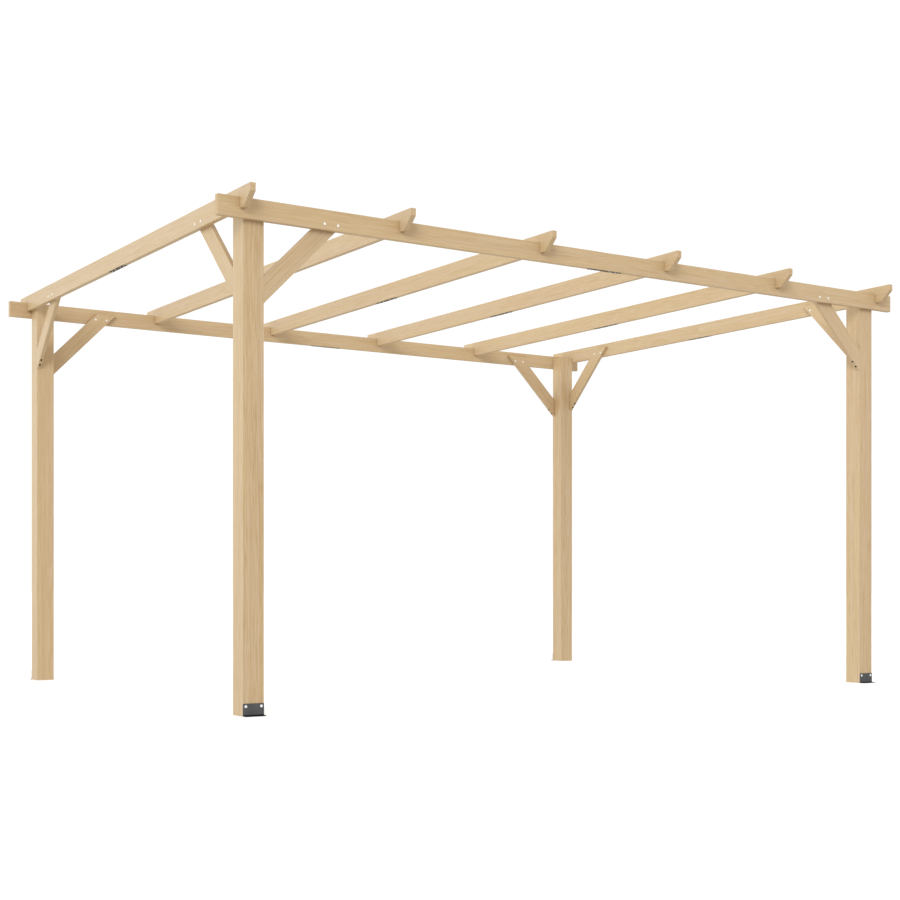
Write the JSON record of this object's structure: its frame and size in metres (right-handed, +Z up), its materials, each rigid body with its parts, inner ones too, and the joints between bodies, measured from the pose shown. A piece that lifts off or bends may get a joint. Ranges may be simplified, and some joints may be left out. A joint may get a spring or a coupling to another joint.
{
  "type": "wooden pergola",
  "caption": "Free-standing flat-roofed pergola: square posts, spliced beams and cross-lapped rafters of pale pine, with knee braces and steel foot brackets.",
  "frame": {"origin": "on the ground at the centre of the footprint", "axes": "+X along the long beams, +Y along the rafters from the front beam to the back beam, +Z up"},
  "size_m": [4, 2.99, 2.15],
  "materials": {
    "post_timber": "planed pale pine, square posts with eased edges, unpainted",
    "board_timber": "planed pale pine boards with eased edges, unpainted",
    "dark_steel": "dark grey powder-coated steel, semi-matt"
  },
  "bodies": {
    "root": {"post_front_left": "post_timber", "post_front_right": "post_timber", "post_back_left": "post_timber", "post_back_right": "post_timber", "front_beam_left": "board_timber", "front_beam_right": "board_timber", "back_beam_left": "board_timber", "back_beam_right": "board_timber", "rafter_1_front": "board_timber", "rafter_1_back": "board_timber", "rafter_2_front": "board_timber", "rafter_2_back": "board_timber", "rafter_3_front": "board_timber", "rafter_3_back": "board_timber", "rafter_4_front": "board_timber", "rafter_4_back": "board_timber", "rafter_5_front": "board_timber", "rafter_5_back": "board_timber", "rafter_6_front": "board_timber", "rafter_6_back": "board_timber", "brace_front_left_beam": "board_timber", "brace_front_left_rafter": "board_timber", "brace_front_right_beam": "board_timber", "brace_front_right_rafter": "board_timber", "brace_back_left_beam": "board_timber", "brace_back_left_rafter": "board_timber", "brace_back_right_beam": "board_timber", "brace_back_right_rafter": "board_timber", "front_beam_splice_plate": "dark_steel", "back_beam_splice_plate": "dark_steel", "rafter_1_splice_plate": "dark_steel", "rafter_2_splice_plate": "dark_steel", "rafter_3_splice_plate": "dark_steel", "rafter_4_splice_plate": "dark_steel", "rafter_5_splice_plate": "dark_steel", "rafter_6_splice_plate": "dark_steel", "base_bracket_front_left": "dark_steel", "base_bracket_front_right": "dark_steel", "base_bracket_back_left": "dark_steel", "base_bracket_back_right": "dark_steel"}
  },
  "joints": []
}
